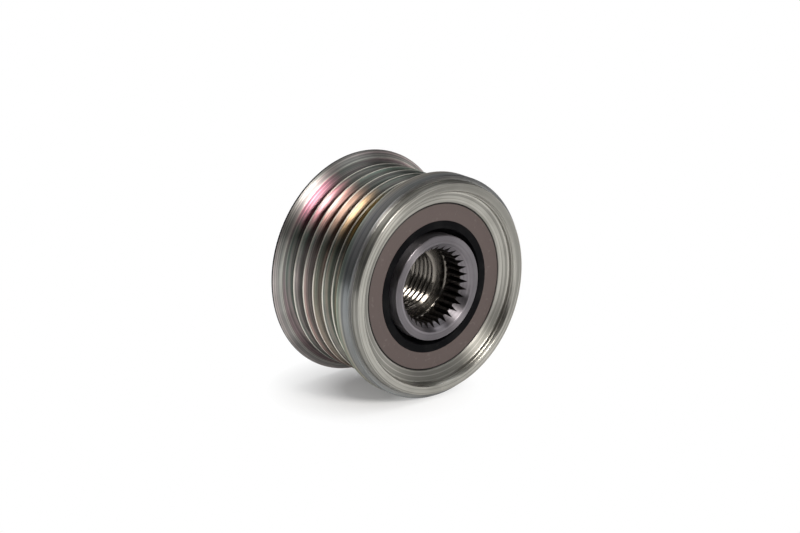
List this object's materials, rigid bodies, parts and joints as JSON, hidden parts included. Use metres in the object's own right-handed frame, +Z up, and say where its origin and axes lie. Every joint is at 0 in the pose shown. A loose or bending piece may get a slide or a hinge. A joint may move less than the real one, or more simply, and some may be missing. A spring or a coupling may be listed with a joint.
{
  "type": "alternator freewheel clutch",
  "caption": "Alternator freewheel clutch: ribbed belt pulley that drives its threaded hub one way through wedging rollers and overruns on needle bearings, with sealed ends.",
  "frame": {"origin": "on the axis, halfway between the pulley's front face and the back of the hub", "axes": "+Y along the axis from the tool socket towards the alternator; +Z up, square to the axis; +X to the right seen from the socket side"},
  "size_m": [0.055, 0.031, 0.055],
  "materials": {
    "plated_steel": "turned steel, zinc plated and passivated",
    "hub_steel": "satin phosphated steel",
    "hardened_steel": "ground and oiled",
    "spring_steel": "bright rolled strip",
    "seal_plate": "matt brown-grey coating",
    "seal_rubber": "moulded black rubber",
    "cage_plastic": "glass-filled moulding",
    "washer_plastic": "plain moulding"
  },
  "bodies": {
    "hub": {"hub": "hub_steel", "ramp_sleeve": "hardened_steel", "clutch_cage": "cage_plastic", "clutch_springs": "spring_steel", "front_thrust_washer": "washer_plastic", "rear_thrust_washer": "washer_plastic"},
    "pulley": {"pulley": "plated_steel", "clutch_outer_ring": "hardened_steel", "front_seal_carrier": "seal_plate", "front_seal_lip": "seal_rubber", "rear_seal_carrier": "seal_plate", "rear_seal_lip": "seal_rubber"},
    "front_bearing": {"front_bearing_cage": "cage_plastic", "front_needles": "hardened_steel"},
    "rear_bearing": {"rear_bearing_cage": "cage_plastic", "rear_needles": "hardened_steel"},
    "roller_01": {"clutch_roller_01": "hardened_steel"},
    "roller_02": {"clutch_roller_02": "hardened_steel"},
    "roller_03": {"clutch_roller_03": "hardened_steel"},
    "roller_04": {"clutch_roller_04": "hardened_steel"},
    "roller_05": {"clutch_roller_05": "hardened_steel"},
    "roller_06": {"clutch_roller_06": "hardened_steel"},
    "roller_07": {"clutch_roller_07": "hardened_steel"},
    "roller_08": {"clutch_roller_08": "hardened_steel"},
    "roller_09": {"clutch_roller_09": "hardened_steel"},
    "roller_10": {"clutch_roller_10": "hardened_steel"},
    "roller_11": {"clutch_roller_11": "hardened_steel"},
    "roller_12": {"clutch_roller_12": "hardened_steel"}
  },
  "joints": [
    {"name": "pulley_spin", "type": "hinge", "parent": "hub", "child": "pulley", "pos_m": [0, 0, 0], "axis": [0, 1, 0], "continuous": true},
    {"name": "front_bearing_orbit", "type": "hinge", "parent": "hub", "child": "front_bearing", "pos_m": [0, 0, 0], "axis": [0, 1, 0], "continuous": true},
    {"name": "rear_bearing_orbit", "type": "hinge", "parent": "hub", "child": "rear_bearing", "pos_m": [0, 0, 0], "axis": [0, 1, 0], "continuous": true},
    {"name": "roller_01_slide", "type": "slide", "parent": "hub", "child": "roller_01", "axis": [0.866, 0, 0.5], "range_m": [0, 0.0006], "deforming": ["clutch_springs"]},
    {"name": "roller_02_slide", "type": "slide", "parent": "hub", "child": "roller_02", "axis": [0.5, 0, 0.866], "range_m": [0, 0.0006]},
    {"name": "roller_03_slide", "type": "slide", "parent": "hub", "child": "roller_03", "axis": [0, 0, 1], "range_m": [0, 0.0006]},
    {"name": "roller_04_slide", "type": "slide", "parent": "hub", "child": "roller_04", "axis": [-0.5, 0, 0.866], "range_m": [0, 0.0006]},
    {"name": "roller_05_slide", "type": "slide", "parent": "hub", "child": "roller_05", "axis": [-0.866, 0, 0.5], "range_m": [0, 0.0006]},
    {"name": "roller_06_slide", "type": "slide", "parent": "hub", "child": "roller_06", "axis": [-1, 0, 0], "range_m": [0, 0.0006]},
    {"name": "roller_07_slide", "type": "slide", "parent": "hub", "child": "roller_07", "axis": [-0.866, 0, -0.5], "range_m": [0, 0.0006]},
    {"name": "roller_08_slide", "type": "slide", "parent": "hub", "child": "roller_08", "axis": [-0.5, 0, -0.866], "range_m": [0, 0.0006]},
    {"name": "roller_09_slide", "type": "slide", "parent": "hub", "child": "roller_09", "axis": [0, 0, -1], "range_m": [0, 0.0006]},
    {"name": "roller_10_slide", "type": "slide", "parent": "hub", "child": "roller_10", "axis": [0.5, 0, -0.866], "range_m": [0, 0.0006]},
    {"name": "roller_11_slide", "type": "slide", "parent": "hub", "child": "roller_11", "axis": [0.866, 0, -0.5], "range_m": [0, 0.0006]},
    {"name": "roller_12_slide", "type": "slide", "parent": "hub", "child": "roller_12", "axis": [1, 0, 0], "range_m": [0, 0.0006]}
  ],
  "couplings": [
    {"joint": "front_bearing_orbit", "follows": "pulley_spin", "ratio": 0.54071},
    {"joint": "rear_bearing_orbit", "follows": "pulley_spin", "ratio": 0.54071},
    {"joint": "roller_02_slide", "follows": "roller_01_slide", "ratio": 1},
    {"joint": "roller_03_slide", "follows": "roller_01_slide", "ratio": 1},
    {"joint": "roller_04_slide", "follows": "roller_01_slide", "ratio": 1},
    {"joint": "roller_05_slide", "follows": "roller_01_slide", "ratio": 1},
    {"joint": "roller_06_slide", "follows": "roller_01_slide", "ratio": 1},
    {"joint": "roller_07_slide", "follows": "roller_01_slide", "ratio": 1},
    {"joint": "roller_08_slide", "follows": "roller_01_slide", "ratio": 1},
    {"joint": "roller_09_slide", "follows": "roller_01_slide", "ratio": 1},
    {"joint": "roller_10_slide", "follows": "roller_01_slide", "ratio": 1},
    {"joint": "roller_11_slide", "follows": "roller_01_slide", "ratio": 1},
    {"joint": "roller_12_slide", "follows": "roller_01_slide", "ratio": 1}
  ]
}
